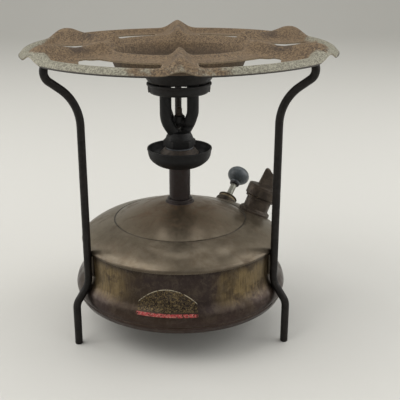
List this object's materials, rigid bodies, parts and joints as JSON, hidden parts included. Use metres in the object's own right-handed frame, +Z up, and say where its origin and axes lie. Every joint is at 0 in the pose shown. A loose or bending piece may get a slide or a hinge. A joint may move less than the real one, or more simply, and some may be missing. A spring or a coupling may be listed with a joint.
{
  "type": "camping stove",
  "caption": "Brass paraffin pressure stove with roarer burner, spirit cup, hand pump, screw filler cap and pressed pan support on three bent-rod legs.",
  "frame": {"origin": "on the floor, under the axis of the tank and centred on the pan support", "axes": "+Z up along the tank's axis; -Y is the front, between the two front legs; the filler and pump are at the right rear"},
  "size_m": [0.2452, 0.2452, 0.2451],
  "materials": {
    "tank_brass": "tarnished, semi-matt",
    "dark_bronze": "dark patina",
    "sooted_brass": "black with soot, matt",
    "scorched_brass": "heat-browned",
    "sooted_steel": "black with soot, matt",
    "lead": "dull grey",
    "seal_leather": "oiled",
    "bright_brass": "satin",
    "cork": "matt",
    "spring_steel": "satin",
    "rod_steel": "dull grey",
    "black_ferrule": "black",
    "knob_paint": "slate grey, worn",
    "leg_steel": "dark brown oxide",
    "rusty_steel": "rusty pressed steel, zinc grey at the rim"
  },
  "bodies": {
    "stove": {"tank_side": "tank_brass", "tank_bottom": "tank_brass", "tank_dome": "tank_brass", "riser_collar": "dark_bronze", "riser_tube": "dark_bronze", "spirit_cup": "sooted_brass", "cup_skirt": "scorched_brass", "burner_gasket": "lead", "burner_nut": "sooted_brass", "climbing_tubes": "sooted_brass", "falling_tubes": "sooted_brass", "jet_block": "sooted_brass", "jet_nipple": "scorched_brass", "wind_ring": "sooted_brass", "burner_head": "sooted_brass", "filler_flange": "dark_bronze", "filler_neck": "dark_bronze", "pump_flange": "tank_brass", "pump_barrel": "tank_brass", "pump_cap": "dark_bronze", "check_valve": "bright_brass", "valve_spring": "spring_steel", "leg_left": "leg_steel", "leg_right": "leg_steel", "leg_back": "leg_steel", "leg_brazing": "bright_brass"},
    "pan_support": {"pan_support": "rusty_steel"},
    "flame_bell": {"flame_bell": "sooted_steel"},
    "flame_spreader": {"flame_spreader": "sooted_steel"},
    "filler_screw": {"filler_gasket": "seal_leather"},
    "filler_cap": {"filler_cap": "dark_bronze"},
    "pump_plunger": {"pump_rod": "rod_steel", "piston_nut": "rod_steel", "piston_washer": "rod_steel", "piston_leather": "seal_leather", "piston_plate": "bright_brass", "pump_ferrule": "black_ferrule", "pump_knob": "knob_paint"},
    "check_valve_disc": {"valve_disc": "cork", "valve_holder": "bright_brass"}
  },
  "joints": [
    {"name": "pan_support_lift", "type": "slide", "parent": "stove", "child": "pan_support", "axis": [0, 0, 1], "range_m": [0, 0.04]},
    {"name": "flame_bell_lift", "type": "slide", "parent": "stove", "child": "flame_bell", "axis": [0, 0, 1], "range_m": [0, 0.025]},
    {"name": "flame_spreader_lift", "type": "slide", "parent": "stove", "child": "flame_spreader", "axis": [0, 0, 1], "range_m": [0, 0.025]},
    {"name": "filler_cap_rise", "type": "slide", "parent": "stove", "child": "filler_screw", "axis": [0.3822, 0.1391, 0.9135], "range_m": [0, 0.00501]},
    {"name": "filler_cap_turn", "type": "hinge", "parent": "filler_screw", "child": "filler_cap", "pos_m": [0.06578, 0.02394, 0.08838], "axis": [0.3822, 0.1391, 0.9135], "range_deg": [0, 1200]},
    {"name": "pump_stroke", "type": "slide", "parent": "stove", "child": "pump_plunger", "axis": [0.435, 0.6306, 0.6428], "range_m": [-0.0125, 0.0275]},
    {"name": "check_valve_lift", "type": "slide", "parent": "stove", "child": "check_valve_disc", "axis": [-0.435, -0.6306, -0.6428], "range_m": [0, 0.001], "stiffness_N_per_m": 300, "springref_m": -0.002, "deforming": ["valve_spring"]}
  ],
  "couplings": [
    {"joint": "filler_cap_rise", "follows": "filler_cap_turn", "m_per_rad": 0.00023873}
  ]
}
